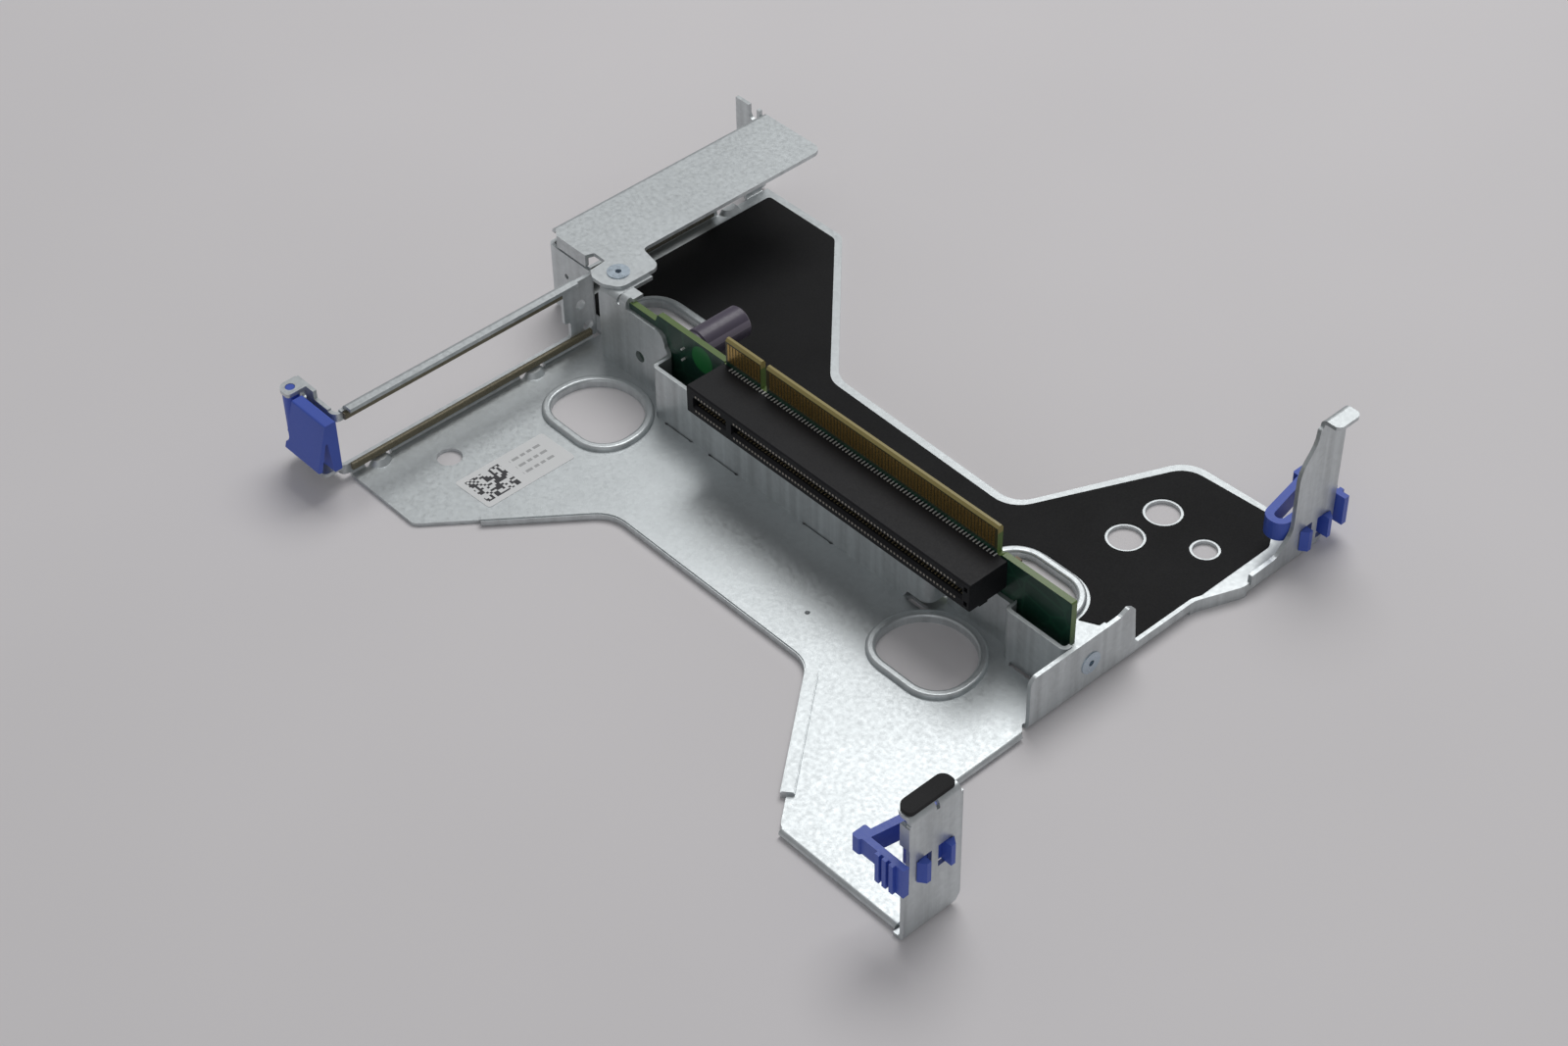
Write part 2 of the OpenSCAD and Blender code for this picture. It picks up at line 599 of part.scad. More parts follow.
// Edge tab with a bevel on both faces
module edge_tab(x0, x1) {
    translate([x0, 0, 0]) rotate([90, 0, 90]) linear_extrude(x1 - x0)
        polygon([[0, 20], [board_t, 20], [board_t, board_top - 0.7], [board_t - bevel, board_top],
            [bevel, board_top], [0, board_top - 0.7]]);
}

module riser_board() color([0.05, 0.25, 0.13]) difference() {
    union() {
        plate_xz([[board_rear_x, board_low, 0.5], [board_front_x, board_low, 0.5], [board_front_x, 24.5, 0.4],
            [86.6, 24.5, 0.4], [86.1, 24, 0.3], [-0.6, 24, 0.2], [-0.6, 24.5, 0.2], [-23.6, 24.5, 0.3],
            [-24.6, 22.3, 0.3], [board_rear_x, 22.3, 0.4]], 0, board_t);
        edge_tab(0, key_x);
        edge_tab(key_x + key_w, tab_len);
    }
    translate([key_x + key_w / 2, board_t + 1, 25.2]) rotate([90, 0, 0]) cylinder(r = key_w / 2, h = 4);
    // holes of the capacitor's leads
    for (z = lead_z) translate([cap_x, board_t + 1, z]) rotate([90, 0, 0]) cylinder(r = lead_r, h = 4);
}

// ---------- contacts of the edge tab ----------

pad_w = 0.7 * contact_pitch;
pad_t = 0.06;
pad_high = board_top - 1.1;
pad_low = 25.6;

module edge_contacts(y) {
    count = floor((tab_len - 0.6) / contact_pitch);
    for (k = [0:count - 1]) {
        x = 0.65 + k * contact_pitch;
        if (x + pad_w < key_x - 0.2 || x > key_x + key_w + 0.2)
            translate([x, y, pad_low]) cube([pad_w, pad_t, pad_high - pad_low]);
    }
}

module edge_contacts_near() color([0.72, 0.52, 0.2]) edge_contacts(-pad_t);
module edge_contacts_far() color([0.72, 0.52, 0.2]) edge_contacts(board_t);

// ---------- card slot ----------

slot_x0 = -0.7;
slot_x1 = slot_x0 + slot_len;
slot_low = slot_z - slot_h / 2;
slot_high = slot_z + slot_h / 2;
mouth_h = 1.9;
mouth_x0 = slot_x0 + 2;
mouth_x1 = slot_x1 - 2;
mouth_deep = 8.2;
slot_key_x = 13.2;
window_h = 0.75;
window_row = 1.75;

// X of the k-th contact of the slot
function contact_x(k) = mouth_x0 + 0.75 + k * contact_pitch;
contact_count = floor((mouth_x1 - mouth_x0 - 0.9) / contact_pitch);

module slot_housing() color([0.09, 0.09, 0.1]) difference() {
    union() {
        translate([slot_x0, 0, 0]) rotate([90, 0, 90]) linear_extrude(slot_len)
            polygon([[0, slot_low + 0.3], [0, slot_high], [-slot_d + 0.3, slot_high], [-slot_d, slot_high - 0.3],
                [-slot_d, slot_low + 0.3], [-slot_d + 0.3, slot_low], [-0.3, slot_low]]);
        // foot under the front end
        translate([slot_x1 - 3.6, -7.4, slot_low - 1.3]) cube([3, 2.4, 1.5]);
    }
    // mouth with its lead-in, left and right of the key
    for (span = [[mouth_x0, slot_key_x - 0.85], [slot_key_x + 0.85, mouth_x1]]) {
        translate([span.x, -slot_d - 1, slot_z - mouth_h / 2]) cube([span.y - span.x, mouth_deep + 1, mouth_h]);
        translate([span.x, -slot_d, slot_z]) rotate([90, 0, 90]) linear_extrude(span.y - span.x)
            polygon([[-1, -mouth_h / 2 - 1.6], [-1, mouth_h / 2 + 1.6], [0.6, mouth_h / 2], [0.6, -mouth_h / 2]]);
    }
    // square pockets at the front end
    for (z = [-2.6, 1.4]) translate([slot_x1 - 1.6, -slot_d - 1, slot_z + z]) cube([1.0, 2, 1.2]);
}

module slot_contacts() color([0.75, 0.7, 0.55]) for (k = [0:contact_count - 1]) {
    x = contact_x(k);
    if (abs(x + 0.2 - slot_key_x) > 1.3) for (side = [-1, 1])
        translate([x, -slot_d + 1, slot_z + side * (mouth_h / 2 - 0.1) - 0.1])
            cube([0.4, mouth_deep - 1.2, 0.2]);
}

module slot_solder_tails() color([0.8, 0.8, 0.78]) for (k = [0:contact_count - 1])
    translate([contact_x(k), -1.1, slot_high]) cube([0.3, 1.1, 0.15]);

// ---------- capacitors ----------

cap_x = -14.6;
cap_z = 18.6;
lead_r = 0.3;
lead_z = [cap_z - 1.55, cap_z + 1.55];

module bulk_capacitor() color([0.35, 0.32, 0.42])
    translate([cap_x, board_t, cap_z]) rotate([-90, 0, 0]) rotate_extrude()
        polygon([[0, 0.3], [cap_r - 1, 0.3], [cap_r - 0.7, 0], [cap_r - 0.2, 0.2], [cap_r, 0.6], [cap_r, 1.4],
            [cap_r - 0.35, 1.8], [cap_r - 0.35, 2.2], [cap_r, 2.6], [cap_r, cap_len - 0.5],
            [cap_r - 0.5, cap_len], [cap_r - 0.9, cap_len], [cap_r - 0.9, cap_len - 0.2], [0, cap_len - 0.2]]);

module capacitor_leads() color([0.8, 0.8, 0.78]) for (z = lead_z)
    translate([cap_x, -0.9, z]) rotate([-90, 0, 0]) cylinder(r = lead_r - 0.02, h = 0.9 + board_t + 0.3);

module filter_capacitor() color([0.2, 0.16, 0.12])
    translate([88.6, board_t, 23.4]) cube([1.6, 0.8, 0.8]);

// ---------- rivets ----------

// Tubular rivet on +Z, its head's under side at 0 and its grip below
module tube_rivet(grip) {
    difference() {
        union() {
            cylinder(r = rivet_r + 1.15, h = 0.25);
            translate([0, 0, -grip - 0.02]) cylinder(r = rivet_r - 0.02, h = grip + 0.1);
            translate([0, 0, -grip - 0.5]) cylinder(r = rivet_r + 0.7, h = 0.5);
        }
        translate([0, 0, -grip - 1]) cylinder(r = 0.75, h = grip + 2);
    }
}

module rear_rivet() color([0.72, 0.78, 0.85]) translate([rivet_x, rivet_y, far_wall_h]) tube_rivet(2 * sheet_t);
module front_rivet() color([0.72, 0.78, 0.85])
    translate([front_x, rivet_front_y, rivet_front_z]) rotate([0, 90, 0]) tube_rivet(2 * sheet_t);

// ---------- gaskets ----------

// Fabric-over-foam gasket, flat on the wall and rounded inward
module gasket_section(h) {
    square([0.5, h]);
    translate([0.5, 0.5]) circle(0.5);
    translate([0.5, h - 0.5]) circle(0.5);
    translate([0.5, 0.5]) square([0.5, h - 1]);
}

module upper_gasket() color(olive) sweep([[rear_x + sheet_t, -7, 0], [rear_x + sheet_t, near_y + 1.2, 0]])
    translate([0, window_high + 0.3]) gasket_section(near_wall_h - sheet_t - window_high - 0.9);

module lower_gasket() color(olive) sweep([[rear_x + sheet_t, 1, 0], [rear_x + sheet_t, near_y + 1.4, 0]])
    translate([0, louvre_h + 0.15]) gasket_section(window_low - louvre_h - 0.25);

module far_gasket() color([0.2, 0.2, 0.19]) sweep([[far_rear_x + sheet_t, 53.6, 0], [far_rear_x + sheet_t, 6, 0]])
    translate([0, sheet_t + bend_r + 0.1]) gasket_section(4);

// ---------- rear latch ----------

latch_top = 21;
latch_bottom = 7.1;
latch_back = near_y - 2.7;

// Section of the latch across its length, corners [y, z, radius]
latch_pts = [[latch_back, latch_bottom, 0.3], [latch_back, latch_top, 0.4], [latch_back - 3, latch_top, 0.5],
    [latch_back - 6.6, 9.1, 0.5], [latch_back - 5.3, 8.9, 0.3], [latch_back - 3.0, 17.4, 0.3],
    [latch_back - 2.1, latch_bottom, 0.3]];

module rear_latch() color(blue) {
    latch_x0 = ear_x + 3.2;
    difference() {
        plate_yz(latch_pts, latch_x0, latch_len);
        // finger scallops of the outer leg's end
        for (z = [12.3, 6.2]) translate([latch_x0 - 0.6, latch_back - 8, z]) rotate([-90, 0, 0])
            cylinder(r = 1.5, h = 5);
    }
    // barrel between the ears, with its two pivots
    translate([ear_x, ear_y, shelf_z + sheet_t + 0.1])
        cylinder(r = 2.0, h = ear_top - 2 * sheet_t - shelf_z - 0.2);
    translate([ear_x, ear_y, shelf_z + 0.1]) cylinder(r = pivot_r, h = ear_top - shelf_z - 0.2);
    translate([ear_x, ear_y - 1, 9]) cube([4, 2, latch_top - 10]);
}

// ---------- front latches ----------

// Each latch is [face of its sheet, y of its crossbar's outer face, hand, top, middle of its two slots]
near_clip = [tab_x, tab_y0 - 2.4, 1, 24.8, 10.6];
far_clip = [arm_x, far_y + 6.3, -1, 12.2, 8.4];

clip_gap = 0.1;
hook_drop = 3.6;
hook_h = 5.6;

// Spans of a latch's two slots along it, from the crossbar's outer face
function clip_slots(c) = [[c[4] - 4.4, c[4] - 0.9], [c[4] + 0.9, c[4] + 4.4]];

// Slot in the sheet for one hook
module clip_slot(c, s) {
    y0 = c.y + c.z * s.x;
    y1 = c.y + c.z * s.y;
    translate([c.x - 3, min(y0, y1), c[3] - hook_drop - hook_h - 0.2]) cube([5, s.y - s.x, hook_h + 0.4]);
}

// Hook of a latch in plan, its barb pointing along side
module hook(x0, side) {
    scale([1, side, 1]) linear_extrude(hook_h)
        polygon([[x0, 0.2], [0.15, 0.2], [0.15, -0.6], [1.8, 0.6], [1.8, 1.7], [x0, 1.7]]);
}

// V-spring latch: a leg on the sheet, a round turn and a free leg with a crossbar
module front_latch(c) {
    leg_x = -sheet_t - clip_gap;
    turn_r = 3.0;
    end_y = 18.6;
    free_x = leg_x - 2 * turn_r;
    tip_x = free_x - tan(clip_angle) * (end_y - 2);
    slots = clip_slots(c);
    translate([c.x, c.y, 0]) mirror([0, c.z < 0 ? 1 : 0, 0]) {
        translate([0, 0, c[3] - clip_h]) linear_extrude(clip_h) polygon(rounded([
            [leg_x, 4.6, 0.4], [leg_x, end_y, turn_r], [free_x, end_y, turn_r], [tip_x, 0.8, 0],
            [tip_x + clip_t, 0.8, 0], [free_x + clip_t, end_y - clip_t, turn_r - clip_t],
            [leg_x - clip_t, end_y - clip_t, turn_r - clip_t], [leg_x - clip_t, 4.6, 0.4]]));
        // root that carries the hooks below the leg
        translate([leg_x - clip_t, slots[0].x, c[3] - hook_drop - hook_h])
            cube([clip_t, slots[1].y - slots[0].x, hook_h + hook_drop - clip_h + 0.5]);
        translate([0, slots[0].x, c[3] - hook_drop - hook_h]) hook(leg_x - clip_t + 0.5, 1);
        translate([0, slots[1].y, c[3] - hook_drop - hook_h]) hook(leg_x - clip_t + 0.5, -1);
        // crossbar with its stud
        translate([0, 0, c[3] - 4.4]) linear_extrude(4.4) polygon(rounded([[2.2, 0, 0.3], [2.2, 1.5, 0.3],
            [-9.2, 1.5, 0.3], [-9.2, 3, 0.5], [-11.4, 3, 0.5], [-11.4, -0.6, 0.5], [-9.2, -0.6, 0.5], [-9.2, 0, 0.3]]));
        // ribbed pad
        translate([-4.8, 0, c[3] - 7.8]) cube([7, 1.5, 7.8]);
        for (x = [-4.8, -2.9, -1.0]) translate([x, -0.8, c[3] - 7.8]) cube([1.1, 1, 7.8]);
    }
}

module near_front_latch() color(blue) front_latch(near_clip);
module far_front_latch() color(blue) front_latch(far_clip);

// ---------- pad and label ----------

module foam_pad() color([0.13, 0.13, 0.13]) translate([0, 0, tab_h])
    plate([[tab_x - 4.6, tab_y0 + 2, 2], [tab_x - 0.7, tab_y0 + 2, 1.2], [tab_x - 0.7, tab_y1 - 1, 1.2],
        [tab_x - 4.6, tab_y1 - 1, 2]], 1);

label_t = 0.1;

module id_label() color([0.95, 0.95, 0.95]) translate([0, 0, sheet_t])
    plate([[-32.2, -54.8, 0.8], [-20.2, -54.2, 0.8], [-20.2, -29, 0.8], [-32, -29.4, 0.8]], label_t);

cage_pan();
board_bracket();
insulating_film();
riser_board();
edge_contacts_near();
edge_contacts_far();
slot_housing();
slot_contacts();
slot_solder_tails();
bulk_capacitor();
capacitor_leads();
filter_capacitor();
rear_rivet();
front_rivet();
upper_gasket();
lower_gasket();
far_gasket();
rear_latch();
near_front_latch();
far_front_latch();
foam_pad();
id_label();
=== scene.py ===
import bpy
from mathutils import Matrix, Vector


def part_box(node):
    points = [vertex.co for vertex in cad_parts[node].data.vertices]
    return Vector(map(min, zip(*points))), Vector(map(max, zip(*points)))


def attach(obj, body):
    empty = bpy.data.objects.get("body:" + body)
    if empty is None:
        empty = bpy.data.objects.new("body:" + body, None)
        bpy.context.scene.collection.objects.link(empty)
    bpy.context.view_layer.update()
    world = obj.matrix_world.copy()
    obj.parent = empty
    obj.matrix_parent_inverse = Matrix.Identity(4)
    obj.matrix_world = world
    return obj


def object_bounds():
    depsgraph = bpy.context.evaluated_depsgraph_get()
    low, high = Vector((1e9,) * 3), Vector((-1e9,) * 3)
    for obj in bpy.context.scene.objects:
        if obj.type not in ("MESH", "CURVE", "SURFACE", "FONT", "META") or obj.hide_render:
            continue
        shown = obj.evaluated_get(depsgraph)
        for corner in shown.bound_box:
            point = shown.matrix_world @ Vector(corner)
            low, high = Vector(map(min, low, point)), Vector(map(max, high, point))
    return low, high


bl_info = {
    "name": "Riser cage looks",
    "version": (1, 0, 0),
    "blender": (4, 5, 0),
    "location": "View3D > Sidebar > Riser cage",
    "description": "Finishes, contact rows, light and camera of a riser cage bracket",
    "category": "Object",
}

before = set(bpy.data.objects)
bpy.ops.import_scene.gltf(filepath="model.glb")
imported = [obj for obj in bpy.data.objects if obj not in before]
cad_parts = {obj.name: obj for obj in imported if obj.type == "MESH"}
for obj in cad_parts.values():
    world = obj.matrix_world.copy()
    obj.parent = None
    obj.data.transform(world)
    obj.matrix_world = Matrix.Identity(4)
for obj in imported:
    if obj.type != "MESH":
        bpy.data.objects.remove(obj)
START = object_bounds()

# a noise texture's values stay mostly between these two
NOISE_LOW, NOISE_HIGH = 0.3, 0.7

# riser board, in metres
BEVEL_BAND = 0.002                  # pale band at the top of the board's edges
BARE_BAND = 0.0064                  # height of the edge tab, which has no mask
COPPER_ACROSS, COPPER_UP = 0.0062, 0.0016    # round copper area, from the capacitor's middle
COPPER_RADIUS = 0.0035
CAN_END_DEPTH, CAN_END_RADIUS = 0.0006, 0.0032    # bare metal end of the capacitor's can
SLEEVE_BAND = (0.001, 0.0032)       # lighter band along the sleeve

# card slot, in metres
KEY_START, KEY_STOP = 0.0125, 0.0155    # key bar, from the housing's rear end
WINDOW_PROUD = 0.00001
WINDOW_DEPTH, WINDOW_HEIGHT = 0.00006, 0.0005

# label, in metres from its lower corners
DOT = 0.00062
DOTS_SIDE, DOTS_LOW, DOTS_HIGH = 0.0016, 0.0016, 0.0112
BARS_SIDE, BARS_LOW, BARS_TOP = 0.0018, 0.0135, 0.003
BAR_PITCH, BAR_SHARE = 0.0026, 0.32

# stage
FLOOR_REACH = 6.0
LIGHT_SCALE = 3.2                   # watts of an area light for each unit of the settings
CAMERA_PLACE = (0.3970, -0.3367, 0.45561)
CAMERA_RIGHT = (0.67512713, 0.73753714, -0.01556702)
CAMERA_UP = (-0.49266333, 0.46648004, 0.73462862)
CAMERA_BACK = (0.54907759, -0.48829841, 0.67829084)


# ---------- node helpers ----------

class Tree:
    """Builds a node tree with short calls. A node's inputs are given by name or number."""

    def __init__(self, tree):
        self.tree = tree
        self.across = 0

    def add(self, kind, settings=None, **inputs):
        node = self.tree.nodes.new(kind)
        self.across += 180
        node.location = (self.across, 0)
        for key, value in (settings or {}).items():
            setattr(node, key, value)
        for key, value in inputs.items():
            numbered = key[0] == "i" and key[1:].isdigit()
            self.set(node, int(key[1:]) if numbered else key.replace("_", " "), value)
        return node

    def set(self, node, key, value):
        socket = node.inputs[key]
        if isinstance(value, bpy.types.NodeSocket):
            self.tree.links.new(value, socket)
        else:
            socket.default_value = value

    def math(self, operation, a, b=0.0, c=0.0):
        return self.add("ShaderNodeMath", {"operation": operation}, i0=a, i1=b, i2=c).outputs[0]

    def mix(self, factor, a, b):
        node = self.add("ShaderNodeMix", {"data_type": "RGBA"}, i0=factor)
        self.set(node, 6, a)
        self.set(node, 7, b)
        return node.outputs[2]

    def span(self, value, low, high, out_low, out_high):
        node = self.add("ShaderNodeMapRange", None, i0=value, i1=low, i2=high, i3=out_low, i4=out_high)
        return node.outputs[0]


def surface_group(name, amounts, default_tone):
    """A new shader group with its amounts and its tone going in, and colour, roughness and height coming out.

    Gives the group, its tree, the incoming sockets, the output node and the object's own coordinates."""
    group = bpy.data.node_groups.new(name, "ShaderNodeTree")
    face = group.interface
    for label, low, high, value in amounts:
        socket = face.new_socket(label, in_out="INPUT", socket_type="NodeSocketFloat")
        socket.min_value, socket.max_value, socket.default_value = low, high, value
    socket = face.new_socket("Tone", in_out="INPUT", socket_type="NodeSocketColor")
    socket.default_value = default_tone
    face.new_socket("Color", in_out="OUTPUT", socket_type="NodeSocketColor")
    for label in ("Roughness", "Height"):
        face.new_socket(label, in_out="OUTPUT", socket_type="NodeSocketFloat")
    t = Tree(group)
    put = t.add("NodeGroupInput").outputs
    out = t.add("NodeGroupOutput")
    return group, t, put, out, t.add("ShaderNodeTexCoord").outputs["Object"]


def shaded(t, colour, level):
    """The colour, lighter or darker by a level around one."""
    shade = t.add("ShaderNodeMix", {"data_type": "RGBA", "blend_type": "MULTIPLY"}, i0=1.0)
    t.set(shade, 6, colour)
    t.set(shade, 7, t.add("ShaderNodeCombineColor", None, i0=level, i1=level, i2=level).outputs[0])
    return shade.outputs[2]


def sheet_group():
    """Shader group of galvanised sheet: a fine spangle, soft clouds and drawn streaks."""
    name = "galvanised_sheet"
    if name in bpy.data.node_groups:
        return bpy.data.node_groups[name]
    group, t, put, out, place = surface_group(
        name, (("Spangle scale", 50.0, 4000.0, 700.0), ("Spangle", 0.0, 1.0, 0.05),
               ("Streaks", 0.0, 1.0, 0.1), ("Roughness", 0.0, 1.0, 0.36)), tone(0.6, 0.63, 0.65))
    cells = t.add("ShaderNodeTexVoronoi", None, Vector=place, Scale=put["Spangle scale"])
    grain = t.add("ShaderNodeTexNoise", None, Vector=place, Scale=put["Spangle scale"], Detail=3.0)
    cloud = t.add("ShaderNodeTexNoise", None, Vector=place, Scale=38.0, Detail=3.0, Roughness=0.55)
    stretched = t.add("ShaderNodeMapping", None, Vector=place, Scale=(420.0, 420.0, 14.0))
    streak = t.add("ShaderNodeTexNoise", None, Vector=stretched.outputs[0], Scale=1.0, Detail=4.0)
    upright = t.add("ShaderNodeSeparateXYZ", None,
                    Vector=t.add("ShaderNodeNewGeometry").outputs["Normal"]).outputs[2]
    side = t.math("SUBTRACT", 1.0, t.math("ABSOLUTE", upright))
    cell_tone = t.add("ShaderNodeSeparateColor", None, Color=cells.outputs["Color"]).outputs[0]
    spangle = t.math("MULTIPLY", t.math("SUBTRACT", cell_tone, 0.5), put["Spangle"])
    clouds = t.span(cloud.outputs[0], NOISE_LOW, NOISE_HIGH, -0.05, 0.05)
    drawn = t.span(streak.outputs[0], NOISE_LOW, NOISE_HIGH, -1.0, 0.6)
    lines = t.math("MULTIPLY", t.math("MULTIPLY", drawn, put["Streaks"]), side)
    level = t.math("ADD", t.math("ADD", t.math("ADD", spangle, clouds), lines), 1.0)
    uneven = t.span(grain.outputs[0], NOISE_LOW, NOISE_HIGH, -0.05, 0.09)
    t.set(out, "Color", shaded(t, put["Tone"], level))
    t.set(out, "Roughness", t.math("ADD", put["Roughness"], uneven))
    t.set(out, "Height", t.math("ADD", grain.outputs[0], t.math("MULTIPLY", cell_tone, 0.4)))
    return group


def plain_group():
    """Shader group of a moulded or coated surface: soft mottling, with a fine grain in its height."""
    name = "moulded_surface"
    if name in bpy.data.node_groups:
        return bpy.data.node_groups[name]
    group, t, put, out, place = surface_group(
        name, (("Grain scale", 10.0, 9000.0, 1500.0), ("Mottling", 0.0, 1.0, 0.1),
               ("Roughness", 0.0, 1.0, 0.5), ("Roughness spread", 0.0, 0.5, 0.06)), tone(0.5, 0.5, 0.5))
    grain = t.add("ShaderNodeTexNoise", None, Vector=place, Scale=put["Grain scale"], Detail=3.0)
    cloud = t.add("ShaderNodeTexNoise", None, Vector=place, Scale=60.0, Detail=2.0)
    clouds = t.span(cloud.outputs[0], NOISE_LOW, NOISE_HIGH, -1.0, 1.0)
    level = t.math("ADD", 1.0, t.math("MULTIPLY", clouds, put["Mottling"]))
    uneven = t.span(grain.outputs[0], NOISE_LOW, NOISE_HIGH, -1.0, 1.0)
    spread = t.math("MULTIPLY", uneven, put["Roughness spread"])
    t.set(out, "Color", shaded(t, put["Tone"], level))
    t.set(out, "Roughness", t.math("ADD", put["Roughness"], spread))
    t.set(out, "Height", grain.outputs[0])
    return group


def finish_material(name, group, values, metallic=0.0, bump=0.1, coat=0.0, colour=None, specular=0.5):
    """Material that puts a group's outputs on a Principled shader.

    colour, where given, takes the material's tree and the group's node and gives the base colour."""
    material = bpy.data.materials.new(name)
    material.use_nodes = True
    material.node_tree.nodes.clear()
    t = Tree(material.node_tree)
    node = t.add("ShaderNodeGroup", {"node_tree": group})
    for key, value in values.items():
        t.set(node, key, value)
    shader = t.add("ShaderNodeBsdfPrincipled", None, Metallic=metallic)
    t.set(shader, "Coat Weight", coat)
    t.set(shader, "Specular IOR Level", specular)
    t.set(shader, "Base Color", colour(t, node) if colour else node.outputs["Color"])
    t.set(shader, "Roughness", node.outputs["Roughness"])
    if bump:
        relief = t.add("ShaderNodeBump", None, Strength=bump, Distance=0.0001, Height=node.outputs["Height"])
        t.set(shader, "Normal", relief.outputs[0])
    t.set(t.add("ShaderNodeOutputMaterial"), "Surface", shader.outputs[0])
    return material


def dress(node, material):
    """Puts one material on a CAD node that is shown as it is."""
    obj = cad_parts[node]
    obj.data.materials.clear()
    obj.data.materials.append(material)
    for polygon in obj.data.polygons:
        polygon.material_index = 0


def tone(r, g, b):
    return (r, g, b, 1.0)


def object_axes(t):
    """X, Y and Z of the object's own coordinates."""
    split = t.add("ShaderNodeSeparateXYZ", None, Vector=t.add("ShaderNodeTexCoord").outputs["Object"])
    return split.outputs[0], split.outputs[1], split.outputs[2]


def distance(t, point, middle):
    """How far a point's two coordinates are from a middle."""
    squares = []
    for value, place in zip(point, middle):
        step = t.math("SUBTRACT", value, place)
        squares.append(t.math("MULTIPLY", step, step))
    return t.math("SQRT", t.math("ADD", *squares))


def between(t, value, low, high):
    """One where a value lies between two limits, and zero elsewhere."""
    return t.math("MULTIPLY", t.math("GREATER_THAN", value, low), t.math("LESS_THAN", value, high))


# ---------- settings ----------

class RCB_SheetSettings(bpy.types.PropertyGroup):
    spangle: bpy.props.FloatProperty(name="Spangle", description="Contrast of the zinc's crystals",
                                     default=0.07, min=0.0, max=0.4, subtype="FACTOR")
    spangle_scale: bpy.props.FloatProperty(name="Spangle scale", description="Crystals for each metre",
                                           default=900.0, min=100.0, max=4000.0)
    streaks: bpy.props.FloatProperty(name="Streaks", description="Strength of the streaks on bent walls",
                                     default=0.16, min=0.0, max=0.6, subtype="FACTOR")
    roughness: bpy.props.FloatProperty(name="Roughness", description="Roughness of the sheet",
                                       default=0.38, min=0.1, max=0.8, subtype="FACTOR")


class RCB_SlotSettings(bpy.types.PropertyGroup):
    pitch: bpy.props.FloatProperty(name="Pitch", description="Distance between two contact windows",
                                   default=0.001, min=0.0006, max=0.002, subtype="DISTANCE")
    window: bpy.props.FloatProperty(name="Window", description="Width of one contact window",
                                    default=0.00045, min=0.0002, max=0.0009, subtype="DISTANCE")
    row_gap: bpy.props.FloatProperty(name="Row gap", description="Distance between the two rows of windows",
                                     default=0.0041, min=0.003, max=0.006, subtype="DISTANCE")


class RCB_StageSettings(bpy.types.PropertyGroup):
    key_power: bpy.props.FloatProperty(name="Key light", description="Power of the large light above",
                                       default=2.3, min=0.1, max=100.0, unit="POWER")
    fill_power: bpy.props.FloatProperty(name="Fill light", description="Power of the near side's light",
                                        default=0.35, min=0.0, max=50.0, unit="POWER")
    sky: bpy.props.FloatProperty(name="Sky", description="Strength of the even light from all sides",
                                 default=0.27, min=0.0, max=3.0)
    floor: bpy.props.FloatVectorProperty(name="Floor", description="Colour of the floor", subtype="COLOR",
                                         default=(0.8, 0.775, 0.785), min=0.0, max=1.0)
    lens: bpy.props.FloatProperty(name="Lens", description="Focal length of the camera in millimetres",
                                  default=69.0, min=20.0, max=200.0)


# ---------- operators ----------

class RCB_OT_cage(bpy.types.Operator):
    """Galvanised finish of the folded cage and the board bracket"""
    bl_idname = "rcb.cage"
    bl_label = "Sheet metal"

    def execute(self, context):
        s = context.scene.rcb_sheet
        steel = finish_material("galvanised", sheet_group(), {
            "Spangle scale": s.spangle_scale, "Spangle": s.spangle, "Streaks": s.streaks,
            "Roughness": s.roughness, "Tone": tone(0.60, 0.635, 0.645)}, metallic=0.72, bump=0.12)
        for node in ("cage_pan", "board_bracket"):
            dress(node, steel)
        zinc = finish_material("rivet_zinc", plain_group(), {
            "Grain scale": 900.0, "Mottling": 0.08, "Roughness": 0.3, "Tone": tone(0.55, 0.64, 0.72)},
            metallic=0.8, bump=0.02)
        for node in ("rear_rivet", "front_rivet"):
            dress(node, zinc)
        return {"FINISHED"}


class RCB_OT_film(bpy.types.Operator):
    """Black insulating film on the far half of the plate"""
    bl_idname = "rcb.film"
    bl_label = "Insulating film"

    def execute(self, context):
        film = finish_material("black_film", plain_group(), {
            "Grain scale": 2600.0, "Mottling": 0.25, "Roughness": 0.6, "Tone": tone(0.0085, 0.0085, 0.0092)},
            bump=0.05, specular=0.16)
        dress("insulating_film", film)
        return {"FINISHED"}


